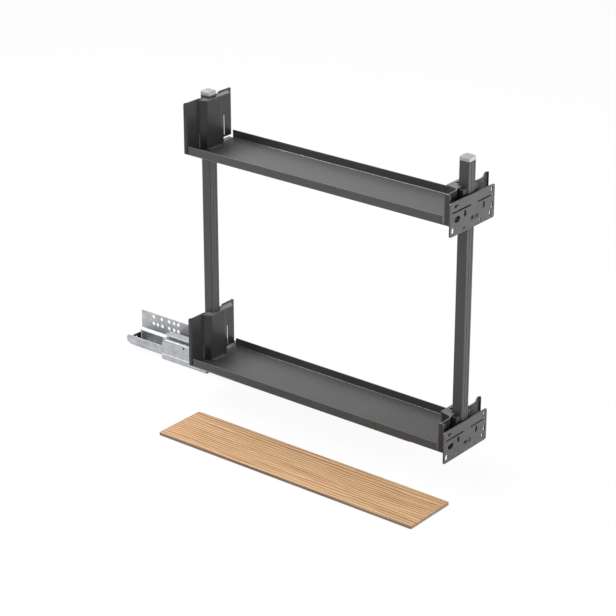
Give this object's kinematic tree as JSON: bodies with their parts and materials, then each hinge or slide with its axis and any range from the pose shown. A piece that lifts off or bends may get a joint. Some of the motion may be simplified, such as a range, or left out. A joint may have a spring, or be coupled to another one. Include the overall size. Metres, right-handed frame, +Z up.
{
  "type": "pull-out cargo basket",
  "caption": "Slim two-tier pull-out basket frame on a side-mounted extension runner, with flat trays, square posts, door brackets and a loose oak board.",
  "frame": {"origin": "middle of the wall screw line, on the wall face of the cabinet profile", "axes": "+X the way the basket pulls out, +Y into the cabinet wall, +Z up"},
  "size_m": [0.7355, 0.245, 0.4905],
  "materials": {
    "powder_coat": "satin anthracite powder coat",
    "grey_polymer": "fine matte",
    "black_polymer": "fine matte, glass-filled",
    "zinc_steel": "zinc-plated, roll-formed",
    "dark_steel": "satin coated stamping",
    "screw_steel": "zinc-plated",
    "white_polymer": "satin",
    "rubber": "matte",
    "oak": "oiled oak, grain along the board"
  },
  "bodies": {
    "cabinet_rail": {"cabinet_profile": "zinc_steel", "rear_buffer": "rubber"},
    "middle_rail": {"middle_profile": "zinc_steel", "middle_guide": "zinc_steel", "middle_rollers": "white_polymer", "middle_axles": "screw_steel"},
    "basket": {"drawer_profile": "zinc_steel", "drawer_glides": "white_polymer", "carrier_plate": "powder_coat", "rear_post": "powder_coat", "front_post": "powder_coat", "post_caps": "grey_polymer", "bracket_post_screws": "screw_steel", "lower_tray": "powder_coat", "lower_rear_holder": "powder_coat", "lower_front_holder": "powder_coat", "lower_rear_clamp": "black_polymer", "lower_front_clamp": "black_polymer", "lower_clamp_screws": "screw_steel"},
    "upper_shelf": {"upper_tray": "powder_coat", "upper_rear_holder": "powder_coat", "upper_front_holder": "powder_coat", "upper_rear_clamp": "black_polymer", "upper_front_clamp": "black_polymer", "upper_clamp_screws": "screw_steel"},
    "lower_base": {"lower_bracket_base": "dark_steel", "lower_bracket_screw": "screw_steel"},
    "lower_plate": {"lower_bracket_plate": "dark_steel"},
    "upper_base": {"upper_bracket_base": "dark_steel", "upper_bracket_screw": "screw_steel"},
    "upper_plate": {"upper_bracket_plate": "dark_steel"},
    "board": {"oak_board": "oak"}
  },
  "joints": [
    {"name": "basket_slide", "type": "slide", "parent": "cabinet_rail", "child": "basket", "axis": [1, 0, 0], "range_m": [-0.144, 0.336]},
    {"name": "middle_slide", "type": "slide", "parent": "cabinet_rail", "child": "middle_rail", "axis": [1, 0, 0], "range_m": [-0.072, 0.168]},
    {"name": "upper_shelf_height", "type": "slide", "parent": "basket", "child": "upper_shelf", "axis": [0, 0, 1], "range_m": [-0.26, 0]},
    {"name": "lower_bracket_height", "type": "slide", "parent": "basket", "child": "lower_base", "axis": [0, 0, 1], "range_m": [-0.004, 0.004]},
    {"name": "lower_bracket_side", "type": "slide", "parent": "lower_base", "child": "lower_plate", "axis": [0, 1, 0], "range_m": [-0.003, 0.003]},
    {"name": "upper_bracket_height", "type": "slide", "parent": "basket", "child": "upper_base", "axis": [0, 0, 1], "range_m": [-0.004, 0.004]},
    {"name": "upper_bracket_side", "type": "slide", "parent": "upper_base", "child": "upper_plate", "axis": [0, 1, 0], "range_m": [-0.003, 0.003]},
    {"name": "board_lift", "type": "slide", "parent": "cabinet_rail", "child": "board", "axis": [0, 0, 1], "range_m": [0, 0.3]}
  ],
  "couplings": [
    {"joint": "middle_slide", "follows": "basket_slide", "ratio": 0.5}
  ]
}
